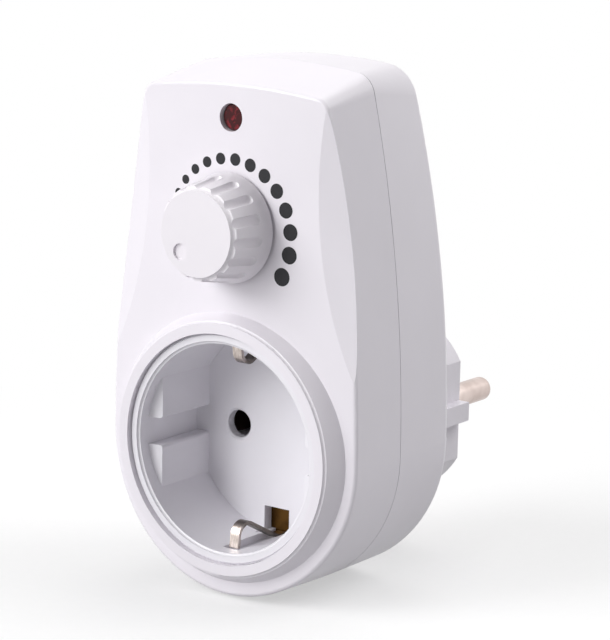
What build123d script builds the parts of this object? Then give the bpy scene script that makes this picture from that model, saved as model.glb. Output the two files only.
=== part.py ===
from build123d import *
import math
import os

os.makedirs("parts", exist_ok=True)

# A plug-in dimmer for an earthed two-pin wall socket: it plugs into the wall at the back, passes the
# supply through a dimming circuit set by the knob, and feeds the earthed socket in its front.
#
# X runs to the right as seen from the front, Y back towards the wall and Z up. The origin is on the
# plug's axis in the plane of the rear face. Depths are Y values, so the front lies at negative Y.
# All sizes are in millimetres.

# Every cutter runs this far past the face that it cuts.
overrun = 3.0
# The gap that a pressed-in or laid-in piece leaves to the piece that holds it.
seat_gap = 0.05
# The running gap between a turning shaft and its bush.
shaft_gap = 0.05

# Socket, from the well outwards: the insert, the collar round it and the flat band round the collar
well_radius = 19.6
well_depth = 17.5
insert_wall = 1.3
insert_lip = 0.65
insert_gap = 0.06
collar_width = 2.39
collar_lean = 0.8
collar_flare = 1.9
body_band = 2.5
sleeve_wall = 2.0
insert_radius = well_radius + insert_wall
insert_flange_radius = insert_radius + insert_lip
collar_bore = insert_flange_radius + insert_gap
collar_rim = collar_bore + collar_width
collar_waist = collar_rim + collar_lean
collar_foot = collar_rim + collar_flare
sleeve_radius = collar_bore + sleeve_wall
body_radius = collar_foot + body_band

# Body outline, seen from the front: a half circle below, bowed sides and an arched top
side_radius = 285.0
crown_radius = 120.0
crown_rise = 9.5
crown_drop = 2.9
corner_radius = 4.5
front_corner_radius = 3.0
inner_corner_share = 0.333

# Body depths
face_depth = 31.5
seam_depth = 16.7
seam_gap = 0.15
cover_draft = 0.4
rear_draft = 0.1
rear_side_radius = 232.0
rear_corner_radius = 8.0
cover_wall = 2.0
rear_wall = 2.0
rear_edge_radius = 1.7
front_edge_radius = 0.7
bow_radius = 293.0

# Crescent facets down both sides of the front
facet_arc_radius = 100.0
facet_reach = 19.2
facet_height = 50.0
facet_slope = 19.0
facet_sink = 0.64
facet_width = 12.0

# Joint between the two shells: a tongue on the rear shell inside a rebate in the cover
tongue_wall = 0.9
tongue_length = 1.5
rebate_gap = 0.1

# Depths and edges of the collar and the insert
collar_rise = 2.5
collar_foot_depth = 30.4
collar_root_depth = 29.6
collar_edge_radius = 0.5
sleeve_depth = 18.2
insert_recess = 0.9
insert_flange = 2.0
insert_edge_radius = 0.5
insert_rim_radius = 0.35
insert_floor = 2.2
pin_hole_radius = 2.7
pin_hole_chamfer = 0.4

# Guide pads on the well's side walls, with the channel for the plug's lug between them
pad_face = 16.5
pad_channel = 5.2
pad_front = 2.7
pad_slope = 0.6
pad_edge_radius = 0.6

# Slots for the earth clips, and the channels in the wall behind them
clip_slot_width = 5.8
clip_slot_reach = 4.8
clip_channel_floor = insert_radius
clip_channel_front = 3.4
clip_channel_width = 3.6
clip_key_wall = 0.6
clip_key_radius = insert_radius + clip_key_wall
clip_key_width = 8.0

# Contact chambers behind the insert's floor
chamber_width = 9.0
chamber_height = 8.0
chamber_wall = 1.0
chamber_length = 9.1

# Plug
pin_pitch = 19.0
pin_radius = 2.4
pin_length = 19.0
pin_tip_radius = 1.2
pin_shank_radius = 1.9
pin_shank_length = 12.0
boss_radius = 18.9
boss_length = 22.5
boss_bore = 16.4
boss_end_wall = 3.0
boss_edge_radius = 0.4
boss_flat = 16.2
boss_side_bore = 14.2
lug_width = 3.7
lug_reach = 18.5
earth_groove_width = 6.4
earth_groove_floor = 17.0
carrier_length = 6.0
carrier_gap = 0.1

# Knob and dial
dial_rise = 15.0
knob_radius = 10.1
knob_waist_radius = 9.6
knob_front_radius = 8.6
knob_length = 9.3
knob_gap = 0.5
knob_base = 2.6
knob_edge_radius = 0.8
knob_wall = 1.4
knob_hub_radius = 5.0
flute_count = 15
flute_radius = 1.15
flute_cut = 0.65
flute_stop = 3.4
pointer_place = 5.0
pointer_radius = 1.5
pointer_cut = 0.5
pointer_angle = -135.0

# Potentiometer
shaft_radius = 3.0
shaft_flat = 1.8
shaft_end_wall = 1.6
shaft_hole_gap = 0.5
pot_radius = 8.0
pot_wall = 0.9
pot_bush_radius = 4.2
pot_bush_length = 1.2
track_inner = 4.0
track_outer = 6.6
track_thick = 0.5
wiper_radius = 6.4
wiper_thick = 0.8
wiper_arm_width = 2.6
terminal_width = 1.2
terminal_thick = 0.5
terminal_pitch = 5.0

# Pilot lamp
lens_rise = 19.9
lens_radius = 2.5
lens_recess = 0.8
lens_flange_radius = 3.4
lens_flange = 0.8
lens_wall = 0.7
lamp_radius = 2.0
lamp_length = 7.0
lamp_lead_radius = 0.3
lamp_lead_pitch = 2.0
lamp_tube_wall = 0.9
lamp_tube_length = 4.5

# Circuit board
board_front_depth = 20.6
board_thick = 1.6
board_width = 38.0
board_drop = 12.9
board_height = 29.0
board_corner_radius = 1.5
board_pillar_radius = 2.4
board_pillar_x = 16.0
board_pillar_margin = 3.2
board_screw_radius = 1.2
board_screw_length = 8.0
board_screw_head = 2.2
board_screw_head_thick = 1.4

# Housing screws
screw_radius = 1.5
screw_gap = 0.05
screw_length = 18.0
screw_head_radius = 2.8
screw_head_thick = 2.0
screw_seat_depth = 6.0
screw_recess_radius = 3.2
insert_pillar_radius = 2.0
insert_pillar_place = 15.5
screw_boss_radius = 2.9
screw_clear_radius = 1.8
rear_boss_radius = 4.0
upper_screw_x = 15.6
upper_screw_drop = 9.5
lower_screw_x = 21.0
lower_screw_z = 23.5
cross_width = 0.7
cross_reach = 1.7
cross_cut = 1.0

# Earth path
strip_thick = 0.8
bridge_width = 7.0
clip_width = 2.0
clip_thick = 0.7
clip_root_height = 20.1
clip_root_gap = 0.25
clip_rise_share = 0.04
clip_apex_height = 14.75
clip_apex_share = 0.583
clip_front_share = 0.72
clip_tip_height = 19.7
clip_bend_radius = 2.2
earth_contact_width = 5.0
earth_contact_bow = 0.5
earth_contact_inset = 1.0
earth_slot_gap = 0.2

# Socket contacts
leaf_gap = 2.75
leaf_thick = 0.6
leaf_height = 5.0
leaf_clear = 0.6
contact_plate = 0.6
contact_plate_width = 8.4
contact_tail = 9.5
strap_width = 4.0

# Leads
lead_radius = 0.9
lead_bend = 2.6
live_lead_x = 5.2
live_lead_back = 6.0
live_lead_height = 12.4
lead_run_depth = 9.0
lead_land_rise = 3.0

# Parts on the board
triac_width = 10.0
triac_thick = 4.4
triac_height = 9.0
triac_tab = 6.0
triac_leg = 0.8
triac_leg_pitch = 2.5
sink_thick = 1.5
sink_width = 17.0
sink_depth = 14.0
sink_fin = 4.0
sink_x = 9.5
sink_rise = 18.0
choke_outer = 8.0
choke_inner = 4.2
choke_length = 7.0
choke_x = -9.6
choke_rise = 14.4
winding_thick = 1.0
winding_open = 40.0
film_length = 13.0
film_height = 6.0
film_depth = 11.0
film_x = 9.0
film_rise = 9.4
film_edge_radius = 0.6
fuse_radius = 2.5
fuse_length = 20.0
fuse_cap_length = 5.0
fuse_x = 0.0
fuse_drop = 3.2
fuse_stand = 3.2
fuse_clip_width = 3.0
clip_wall = 0.5
diac_radius = 0.9
diac_length = 4.2
resistor_radius = 1.1
resistor_length = 6.0
wire_radius = 0.3
timing_radius = 2.4
timing_thick = 3.0
diac_x = -12.6
diac_rise = 20.6
resistor_x = -2.0
resistor_rise = 1.8
resistor_pitch = 3.0
timing_x = 12.6
timing_rise = 15.0
trimmer_width = 7.0
trimmer_thick = 3.6
trimmer_screw_radius = 1.6
trimmer_x = -12.8
trimmer_rise = 13.0

# Heights that follow from the collar upwards: the dial, the lens, the crown and the board behind them
dial_height = collar_foot + dial_rise
lens_height = dial_height + lens_rise
crown_height = lens_height + crown_rise
upper_screw_z = crown_height - upper_screw_drop
board_bottom = dial_height - board_drop
board_top = board_bottom + board_height
lead_land_height = board_bottom + lead_land_rise
sink_z = board_bottom + sink_rise
choke_z = board_bottom + choke_rise
film_z = board_bottom + film_rise
fuse_z = board_top - fuse_drop
diac_z = board_bottom + diac_rise
resistor_z = board_bottom + resistor_rise
timing_z = board_bottom + timing_rise
trimmer_z = board_bottom + trimmer_rise

# Depths that follow from the sizes above, all as Y values
face_y = -face_depth
seam_y = -seam_depth
rim_y = face_y - collar_rise
insert_y = rim_y + insert_recess
floor_y = insert_y + well_depth
base_y = floor_y + insert_floor
chamber_y = base_y + chamber_length
board_y = -board_front_depth
board_back_y = board_y + board_thick
inner_face_y = face_y + cover_wall
boss_floor_y = boss_length - boss_end_wall
carrier_y = boss_floor_y - carrier_length
pin_end_y = boss_length - pin_shank_length
knob_rear_y = face_y - knob_gap
knob_front_y = knob_rear_y - knob_length
pot_front_y = inner_face_y + pot_bush_length + seat_gap
wiper_y = pot_front_y + pot_wall + wiper_thick
track_y = board_y - pot_wall - track_thick
pivot_y = base_y - clip_root_gap - clip_thick / 2

# Angles shared by the turned and mirrored pieces
quarter_turn = 90.0
half_turn = 180.0
full_turn = 360.0


def at_depth(y):
    """Drawing plane facing the front at a depth: its x is X and its y is Z."""
    return Plane(origin=(0, y, 0), x_dir=(1, 0, 0), z_dir=(0, -1, 0))


def slab(sketch, front, rear):
    """Extrude a sketch drawn in X and Z between two depths."""
    return extrude(at_depth(rear) * sketch, amount=rear - front)


def turned(points, x=0, z=0):
    """Turn a closed outline of (radius, depth) points about an axis along Y at (x, z)."""
    outline = make_face(Polyline(*points, close=True))
    return Pos(x, 0, z) * revolve(outline, Axis.Y)


def rod(radius, front, rear, x=0, z=0):
    """Round bar along Y."""
    return Pos(x, 0, z) * slab(Circle(radius), front, rear)


def block(width, front, rear, low, high, x=0):
    """Square-edged block: its width is centred on x, and it runs from low to high."""
    middle = (low + high) / 2
    return slab(Pos(x, middle) * Rectangle(width, high - low), front, rear)


def together(pieces):
    """Several separate solids kept as one sub-part."""
    return Compound([solid for piece in pieces for solid in piece.solids()])


def arcs_meet(ax, az, a_radius, bx, bz, b_radius):
    """Upper meeting point of two circles in the X-Z plane."""
    span = math.hypot(bx - ax, bz - az)
    along = (a_radius**2 - b_radius**2 + span**2) / (2 * span)
    across = math.sqrt(a_radius**2 - along**2)
    ux, uz = (bx - ax) / span, (bz - az) / span
    first = (ax + along * ux - across * uz, az + along * uz + across * ux)
    second = (ax + along * ux + across * uz, az + along * uz - across * ux)
    return max(first, second, key=lambda point: point[1])


def body_outline(inset, crown, corner, bow=side_radius):
    """Outline of the body: round lower end, bowed sides, arched top, drawn in by inset."""
    half = body_radius - inset
    side = bow - inset
    side_x = body_radius - bow
    arch = crown_radius - inset
    px, pz = arcs_meet(side_x, 0, side, 0, crown - crown_radius, arch)
    bend = math.asin(pz / side) / 2
    mx, mz = side_x + side * math.cos(bend), side * math.sin(bend)
    edges = [
        ThreePointArc((-half, 0), (0, -half), (half, 0)),
        ThreePointArc((half, 0), (mx, mz), (px, pz)),
        ThreePointArc((px, pz), (0, crown - inset), (-px, pz)),
        ThreePointArc((-px, pz), (-mx, mz), (-half, 0)),
    ]
    outline = make_face(edges)
    corners = [v for v in outline.vertices() if v.Y > pz / 2]
    return fillet(corners, max(corner - inset, corner * inner_corner_share))


def cover_form(inset, rounding):
    """The front shell's outer form, drawn in by inset: drafted walls, bowed face, side facets."""
    stretch = 1 + overrun / (face_depth - seam_depth)
    front = at_depth(face_y - overrun) * body_outline(
        inset + cover_draft * stretch, crown_height - crown_drop * stretch, front_corner_radius)
    seam = at_depth(seam_y) * body_outline(inset, crown_height, corner_radius)
    form = loft([front, seam], ruled=True)
    bow = Pos(0, face_y + inset + bow_radius, 0) * Cylinder(bow_radius, 2 * (crown_height + overrun))
    form = form & bow
    if rounding:
        rim = [e for e in form.edges() if face_y - seam_gap < e.center().Y < -collar_foot_depth + cover_wall]
        form = fillet(rim, rounding)
    top_y = face_y + facet_sink + inset / math.cos(math.radians(facet_slope))
    fall = facet_width * math.tan(math.radians(facet_slope))
    inner = facet_arc_radius - facet_width
    ring = [(facet_arc_radius, top_y), (inner, top_y + fall), (inner, top_y - overrun),
            (facet_arc_radius, top_y - overrun)]
    centre = facet_reach + facet_arc_radius
    for side in (centre, -centre):
        form = form - turned(ring, side, facet_height)
    return form


def screw_places():
    """Where the four housing screws stand, as (x, z)."""
    return [(x * side, z) for x, z in ((upper_screw_x, upper_screw_z), (lower_screw_x, lower_screw_z))
            for side in (-1, 1)]


def board_places():
    """Where the board's four pillars stand, as (x, z)."""
    rows = (board_bottom + board_pillar_margin, board_top - board_pillar_margin)
    return [(board_pillar_x * side, z) for z in rows for side in (-1, 1)]


def collar_ring():
    """The raised collar round the socket and the sleeve that carries the insert."""
    rim_out = collar_rim - collar_edge_radius
    line = Polyline((collar_bore, rim_y), (rim_out, rim_y))
    edge = RadiusArc((rim_out, rim_y), (collar_rim, rim_y + collar_edge_radius), collar_edge_radius)
    foot = ThreePointArc((collar_rim, rim_y + collar_edge_radius),
                         (collar_waist, (rim_y - collar_foot_depth) / 2), (collar_foot, -collar_foot_depth))
    rest = Polyline((collar_foot, -collar_foot_depth), (collar_foot, -collar_root_depth),
                    (sleeve_radius, -collar_root_depth), (sleeve_radius, -sleeve_depth),
                    (collar_bore, -sleeve_depth), (collar_bore, rim_y))
    return revolve(make_face([line, edge, foot, rest]), Axis.Y)


def front_cover():
    """Front half of the case: face, facets and collar, with bosses, pillars and the lamp's tube inside."""
    outer = cover_form(0, front_edge_radius)
    cavity = cover_form(cover_wall, 0)
    cover = outer - cavity
    cover = cover - rod(collar_bore, face_y - overrun, face_y + collar_rise + cover_wall)
    cover = cover + collar_ring()
    for x, z in screw_places():
        cover = cover + rod(screw_boss_radius, inner_face_y, seam_y, x, z)
    for x, z in board_places():
        cover = cover + rod(board_pillar_radius, inner_face_y, board_y, x, z)
    rebate_wall = cover_wall - tongue_wall - rebate_gap
    rebate = (body_outline(rebate_wall, crown_height, corner_radius)
              - body_outline(cover_wall + rebate_gap, crown_height, corner_radius))
    cover = cover - slab(rebate, seam_y - tongue_length - rebate_gap, seam_y + overrun)
    screw_end = -screw_seat_depth - screw_length - screw_gap
    for x, z in screw_places():
        cover = cover - rod(screw_radius + screw_gap, screw_end, seam_y + overrun, x, z)
    screw_end = board_back_y - board_screw_length - screw_gap
    for x, z in board_places():
        cover = cover - rod(board_screw_radius, screw_end, board_y + overrun, x, z)
    cover = cover + rod(lens_flange_radius + seat_gap + lamp_tube_wall, inner_face_y,
                        inner_face_y + lamp_tube_length, 0, lens_height)
    tube_end = inner_face_y + lamp_tube_length + overrun
    cover = cover - rod(lens_flange_radius + seat_gap, inner_face_y, tube_end, 0, lens_height)
    cover = cover - rod(lens_radius + seat_gap, face_y - overrun, inner_face_y + overrun, 0, lens_height)
    shaft_hole = shaft_radius + shaft_hole_gap
    cover = cover - rod(shaft_hole, face_y - overrun, inner_face_y + overrun, 0, dial_height)
    return cover


def rear_shell_outline(inset, depth_share):
    """Outline of the rear shell: depth_share is 0 at the seam and 1 at the rear face."""
    bow = side_radius + (rear_side_radius - side_radius) * depth_share
    corner = corner_radius + (rear_corner_radius - corner_radius) * depth_share
    return body_outline(inset + rear_draft * depth_share, crown_height, corner, bow)


def earth_groove():
    """Cutter for the grooves on the plug's top and bottom that hold the earth contacts."""
    depth = boss_radius - earth_groove_floor
    return [Pos(0, end * (earth_groove_floor + boss_radius) / 2) * Rectangle(earth_groove_width, depth)
            for end in (-1, 1)]


def rear_housing():
    """Rear half of the case with the plug body, its flats, lugs and grooves, and the screw bosses."""
    start = seam_y + seam_gap
    seam = at_depth(start) * rear_shell_outline(0, 0)
    rear = at_depth(0) * rear_shell_outline(0, 1)
    shell = loft([seam, rear], ruled=True)
    back_edges = [e for e in shell.edges() if abs(e.center().Y) < seam_gap]
    shell = fillet(back_edges, rear_edge_radius)
    outline = Circle(boss_radius) & Rectangle(2 * lug_reach, 2 * boss_radius)
    for side in (-1, 1):
        for end in (-1, 1):
            x = side * (boss_flat + boss_radius) / 2
            z = end * (lug_width + boss_radius) / 2
            outline = outline - Pos(x, z) * Rectangle(boss_radius - boss_flat, boss_radius)
    for groove in earth_groove():
        outline = outline - groove
    boss = slab(outline, -rear_wall, boss_length)
    end_edges = [e for e in boss.edges() if abs(e.center().Y - boss_length) < seam_gap]
    boss = chamfer(end_edges, boss_edge_radius)
    shell = shell + boss
    cavity = loft([at_depth(start - overrun) * rear_shell_outline(rear_wall, 0),
                   at_depth(-rear_wall) * rear_shell_outline(rear_wall, 1)], ruled=True)
    shell = shell - cavity
    bore = Circle(boss_bore) & Rectangle(2 * boss_side_bore, 2 * boss_bore)
    shell = shell - slab(bore, -rear_wall - overrun, boss_floor_y)
    inner = cover_wall - tongue_wall
    tongue = slab(body_outline(inner, crown_height, corner_radius)
                  - body_outline(cover_wall, crown_height, corner_radius), start - seam_gap - tongue_length,
                  start + cover_wall)
    shell = shell + tongue
    for side in (-1, 1):
        shell = shell - rod(pin_shank_radius + seat_gap, boss_floor_y - overrun, boss_length + overrun,
                            side * pin_pitch / 2)
        slot = block(earth_contact_width + 2 * earth_slot_gap, -rear_wall - overrun, earth_contact_inset,
                     earth_groove_floor - earth_slot_gap, earth_groove_floor + strip_thick + earth_slot_gap)
        if side < 0:
            slot = Rot(0, half_turn, 0) * slot
        shell = shell - slot
    for side in (-1, 1):
        for end in (-1, 1):
            x = side * insert_pillar_place
            z = end * insert_pillar_place
            shell = shell + rod(insert_pillar_radius, base_y, -rear_wall / 2, x, z)
    for x, z in screw_places():
        shell = shell + rod(rear_boss_radius, seam_y, -rear_wall / 2, x, z)
        shell = shell - rod(screw_clear_radius, seam_y - overrun, overrun, x, z)
        shell = shell - rod(screw_recess_radius, -screw_seat_depth, overrun, x, z)
    return shell


def socket_insert():
    """Cup of the socket: rim, well, floor, guide pads, clip slots and contact chambers."""
    back = insert_y + insert_flange
    soft = insert_edge_radius
    outer = insert_rim_radius
    rim = [
        Polyline((well_radius, floor_y), (well_radius, insert_y + soft)),
        RadiusArc((well_radius, insert_y + soft), (well_radius + soft, insert_y), soft),
        Polyline((well_radius + soft, insert_y), (insert_flange_radius - outer, insert_y)),
        RadiusArc((insert_flange_radius - outer, insert_y), (insert_flange_radius, insert_y + outer), outer),
        Polyline((insert_flange_radius, insert_y + outer), (insert_flange_radius, back),
                 (insert_radius, back), (insert_radius, -sleeve_depth), (sleeve_radius, -sleeve_depth),
                 (sleeve_radius, base_y), (0, base_y), (0, floor_y), (well_radius, floor_y)),
    ]
    insert = revolve(make_face(rim), Axis.Y)
    key = Circle(clip_key_radius) - Circle(insert_radius - seat_gap)
    key = key & Rectangle(clip_key_width, 2 * body_radius)
    insert = insert + slab(key, back, -sleeve_depth + seat_gap)
    pads = []
    for side in (-1, 1):
        away = -side * (body_radius - pad_face)
        wall = Circle(well_radius + seat_gap) - Pos(away, 0) * Rectangle(2 * body_radius, 2 * body_radius)
        wall = wall - Rectangle(2 * body_radius, pad_channel)
        lips = [v for v in wall.vertices() if abs(v.Y) < pad_channel and abs(v.X) < pad_face + seat_gap]
        wall = fillet(lips, pad_edge_radius)
        front = insert_y + pad_front
        pad = slab(wall, front, floor_y)
        inner_x = side * (pad_face - seat_gap)
        outer_x = side * (well_radius + seat_gap)
        tip = [(inner_x, insert_y), (inner_x, front + pad_slope), (outer_x, front), (outer_x, insert_y)]
        wedge = extrude(Plane.XY * make_face(Polyline(*tip, close=True)), amount=body_radius, both=True)
        pads.append(pad - wedge)
    for pad in pads:
        insert = insert + pad
    for side in (-1, 1):
        x = side * pin_pitch / 2
        half = chamber_height / 2
        chamber = block(chamber_width, base_y - seat_gap, chamber_y, -half, half, x)
        hollow = block(chamber_width - 2 * chamber_wall, base_y, chamber_y + overrun,
                       chamber_wall - half, half - chamber_wall, x)
        mouth = pin_hole_radius + pin_hole_chamfer + overrun
        hole = turned([(0, floor_y - overrun), (mouth, floor_y - overrun),
                       (pin_hole_radius, floor_y + pin_hole_chamfer), (pin_hole_radius, base_y + overrun),
                       (0, base_y + overrun)], x)
        insert = insert + chamber - hollow - hole
    for end in (-1, 1):
        top = end * well_radius
        bottom = end * (well_radius - clip_slot_reach)
        low, high = min(top, bottom), max(top, bottom)
        slot = block(clip_slot_width, floor_y - overrun, base_y + overrun, low, high)
        strip = Pos(0, end * well_radius) * Rectangle(clip_channel_width, well_radius)
        channel = slab(Circle(clip_channel_floor) & strip, insert_y + clip_channel_front, base_y + overrun)
        insert = insert - slot - channel
    return insert


def strip_along(points, thick, width):
    """Flat strip of one width in X, following a bent line of (depth, height) points."""
    line = FilletPolyline(*[(0, y, z) for y, z in points], radius=clip_bend_radius)
    section = Plane(origin=line @ 0, z_dir=line % 0, x_dir=(1, 0, 0)) * Rectangle(width, thick)
    return sweep(section, path=line, transition=Transition.RIGHT)


def earth_clip(end):
    """Spring clip: from its root in the slot it arches towards the axis and curls back to the wall."""
    depth = well_depth
    points = [
        (pivot_y, clip_root_height),
        (floor_y - depth * clip_rise_share, clip_root_height),
        (floor_y - depth * clip_apex_share, clip_apex_height + clip_thick / 2),
        (floor_y - depth * clip_front_share, clip_apex_height + 2 * clip_thick),
        (floor_y - depth * clip_front_share - clip_thick / 2, clip_tip_height),
    ]
    clip = strip_along(points, clip_thick, clip_width)
    root = Pos(0, pivot_y, clip_root_height) * Rot(0, quarter_turn, 0) * Cylinder(clip_thick / 2, clip_width)
    clip = clip + root
    return clip if end > 0 else Rot(0, half_turn, 0) * clip


def earth_bridge():
    """Brass bar across the back of the insert that joins both clips to both plug contacts."""
    top = clip_root_height + strip_thick
    return block(bridge_width, base_y, base_y + strip_thick, -top, top)


def plug_earth(end):
    """Earth contact in the plug's groove, bowed outwards, with its tail running in to the bridge."""
    low = earth_groove_floor + seat_gap
    tail_y = base_y + strip_thick
    front = earth_contact_inset
    rear = boss_length - earth_contact_inset
    middle = (front + rear) / 2
    line = [
        Polyline((tail_y, low), (front, low)),
        ThreePointArc((front, low), (middle, low + earth_contact_bow), (rear, low)),
        Polyline((rear, low), (rear, low + strip_thick)),
        ThreePointArc((rear, low + strip_thick), (middle, low + strip_thick + earth_contact_bow),
                      (front, low + strip_thick)),
        Polyline((front, low + strip_thick), (tail_y, low + strip_thick), (tail_y, low)),
    ]
    side_view = Plane(origin=(0, 0, 0), x_dir=(0, 1, 0), z_dir=(1, 0, 0))
    contact = extrude(side_view * make_face(line), amount=earth_contact_width / 2, both=True)
    return contact if end > 0 else Rot(0, half_turn, 0) * contact


def plug_pin(side):
    """Plug pin: a round free length with a blunt tip, and a thinner shank in the carrier."""
    tip = boss_length + pin_length
    soft = pin_tip_radius
    outline = [
        Polyline((0, pin_end_y), (pin_shank_radius, pin_end_y), (pin_shank_radius, boss_length),
                 (pin_radius, boss_length), (pin_radius, tip - soft)),
        RadiusArc((pin_radius, tip - soft), (pin_radius - soft, tip), -soft),
        Polyline((pin_radius - soft, tip), (0, tip), (0, pin_end_y)),
    ]
    return Pos(side * pin_pitch / 2, 0, 0) * revolve(make_face(outline), Axis.Y)


def pin_carrier():
    """Insulating block at the bottom of the plug body that holds both pins."""
    outline = Circle(boss_bore - carrier_gap) & Rectangle(2 * (boss_side_bore - carrier_gap), 2 * boss_bore)
    carrier = slab(outline, carrier_y, boss_floor_y)
    for side in (-1, 1):
        carrier = carrier - rod(pin_shank_radius + seat_gap, carrier_y - overrun, boss_floor_y + overrun,
                                side * pin_pitch / 2)
    return carrier


def socket_contact(side):
    """Spring contact: two leaves in the chamber, on a plate with a soldering tail above."""
    x = side * pin_pitch / 2
    contact = block(contact_plate_width, chamber_y, chamber_y + contact_plate,
                    -chamber_height / 2, contact_tail, x)
    for hand in (-1, 1):
        leaf_x = x + hand * (leaf_gap + leaf_thick / 2)
        leaf = block(leaf_thick, base_y + leaf_clear, chamber_y + contact_plate / 2, -leaf_height / 2,
                     leaf_height / 2, leaf_x)
        contact = contact + leaf
    return contact


def neutral_strap():
    """Brass bar from the left socket contact straight back to the left plug pin."""
    x = -pin_pitch / 2
    front = chamber_y + contact_plate
    bar = block(strap_width, front, pin_end_y, -strip_thick / 2, strip_thick / 2, x)
    for y in (front, pin_end_y - strip_thick):
        bar = bar + block(strap_width, y, y + strip_thick, -strap_width / 2, strap_width / 2, x)
    return bar


def lead(points):
    """Insulated lead along a route with rounded corners."""
    line = FilletPolyline(*points, radius=lead_bend)
    section = Plane(origin=line @ 0, z_dir=line % 0) * Circle(lead_radius)
    return sweep(section, path=line)


def live_lead():
    """From the right plug pin, out of the plug body and up to the board."""
    x = pin_pitch / 2
    return lead([(x, pin_end_y, 0), (x, live_lead_back, 0),
                 (live_lead_x, live_lead_back, live_lead_height),
                 (live_lead_x, -lead_run_depth, live_lead_height + lead_bend),
                 (live_lead_x, -lead_run_depth, lead_land_height),
                 (live_lead_x, board_back_y, lead_land_height)])


def contact_lead(side):
    """From a socket contact's tail straight up and forward to the board."""
    x = side * pin_pitch / 2
    y = chamber_y + contact_plate / 2
    return lead([(x, y, contact_tail), (x, y, lead_land_height), (x, board_back_y, lead_land_height)])


def control_knob():
    """Knob: a fluted grip that widens to a smooth base, hollow behind, with a hub on the shaft."""
    waist_y = knob_rear_y - knob_base
    soft = knob_edge_radius
    outline = [
        Polyline((0, knob_front_y), (knob_front_radius - soft, knob_front_y)),
        RadiusArc((knob_front_radius - soft, knob_front_y), (knob_front_radius, knob_front_y + soft), soft),
        Polyline((knob_front_radius, knob_front_y + soft), (knob_waist_radius, waist_y),
                 (knob_radius, knob_rear_y), (knob_radius - knob_wall, knob_rear_y),
                 (knob_front_radius - knob_wall, knob_front_y + shaft_end_wall),
                 (knob_hub_radius, knob_front_y + shaft_end_wall), (knob_hub_radius, knob_rear_y),
                 (0, knob_rear_y), (0, knob_front_y)),
    ]
    knob = revolve(make_face(outline), Axis.Y)
    rise = knob_waist_radius - knob_front_radius
    run = waist_y - knob_front_y
    lean = math.degrees(math.atan2(rise, run))
    reach = knob_length - flute_stop
    offset = flute_radius - flute_cut
    start_r = knob_front_radius + offset
    cutter = Rot(quarter_turn, 0, 0) * Cylinder(flute_radius, 2 * reach)
    cutter = cutter + Pos(0, reach, 0) * Sphere(flute_radius)
    cutter = Pos(0, knob_front_y, start_r) * Rot(lean, 0, 0) * cutter
    for index in range(flute_count):
        knob = knob - Rot(0, full_turn * index / flute_count, 0) * cutter
    turn = math.radians(pointer_angle)
    knob = knob - rod(pointer_radius, knob_front_y - overrun, knob_front_y + pointer_cut,
                      pointer_place * math.sin(turn), pointer_place * math.cos(turn))
    flat = Pos(0, shaft_flat + seat_gap + shaft_radius) * Rectangle(2 * knob_radius, 2 * shaft_radius)
    bore = Circle(shaft_radius + seat_gap) - flat
    bore_front = knob_front_y + 2 * shaft_end_wall
    knob = knob - slab(bore, bore_front, knob_rear_y + overrun)
    return Pos(0, 0, dial_height) * knob


def pot_shaft():
    """Shaft with a flat, from inside the potentiometer out into the knob."""
    shaft = rod(shaft_radius, knob_front_y + 2 * shaft_end_wall + seat_gap, wiper_y + wiper_thick)
    flat = block(2 * knob_radius, knob_front_y, knob_rear_y, shaft_flat, shaft_flat + 2 * shaft_radius)
    return Pos(0, 0, dial_height) * (shaft - flat)


def pot_wiper():
    """Wiper turned by the shaft: a hub disc with a springy arm that ends just clear of the track."""
    disc = rod(track_inner, wiper_y, wiper_y + wiper_thick)
    arm = block(wiper_arm_width, wiper_y, wiper_y + wiper_thick, 0, wiper_radius)
    toe = block(wiper_arm_width, wiper_y, track_y - rebate_gap, wiper_radius - 2 * wiper_thick, wiper_radius)
    wiper = disc + arm + toe - rod(shaft_radius + seat_gap, wiper_y - overrun, board_y)
    return Pos(0, 0, dial_height) * Rot(0, pointer_angle, 0) * wiper


def pot_case():
    """Potentiometer case: a cup with a bush for the shaft, closed by its back plate at the board."""
    bush_y = pot_front_y - pot_bush_length
    case = rod(pot_radius, pot_front_y, board_y)
    case = case + rod(pot_bush_radius, bush_y, pot_front_y + seat_gap)
    case = case - rod(pot_radius - pot_wall, pot_front_y + pot_wall, board_y - pot_wall)
    case = case - rod(shaft_radius + shaft_gap, bush_y - overrun, pot_front_y + pot_wall + overrun)
    return Pos(0, 0, dial_height) * case


def pot_track():
    """Carbon track on the back plate, open at the bottom."""
    ring = Circle(track_outer) - Circle(track_inner)
    ring = ring - Pos(0, -track_outer) * Rectangle(track_inner, 2 * track_outer)
    return Pos(0, 0, dial_height) * slab(ring, track_y, track_y + track_thick)


def pot_terminals():
    """Three tags from the case down into the board."""
    group = []
    front = board_y - terminal_pitch
    half = terminal_thick / 2
    for step in (-1, 0, 1):
        x = step * terminal_pitch
        tag = block(terminal_width, front, board_back_y, -half, half, x)
        bar = block(terminal_width, front, front + terminal_thick, -half, terminal_width, x)
        group.append(tag + bar)
    return Pos(0, 0, dial_height - pot_radius - terminal_width) * together(group)


def circuit_board():
    """Board with rounded corners, the four screw holes and the holes for the potentiometer's tags."""
    middle = (board_bottom + board_top) / 2
    outline = Pos(0, middle) * RectangleRounded(board_width, board_top - board_bottom, board_corner_radius)
    board = slab(outline, board_y, board_back_y)
    for x, z in board_places():
        board = board - rod(board_screw_radius + seat_gap, board_y - overrun, board_back_y + overrun, x, z)
    for step in (-1, 0, 1):
        z = dial_height - pot_radius - terminal_width
        board = board - block(terminal_width + seat_gap, board_y - overrun, board_back_y + overrun,
                              z - terminal_thick, z + terminal_thick, step * terminal_pitch)
    return board


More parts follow.
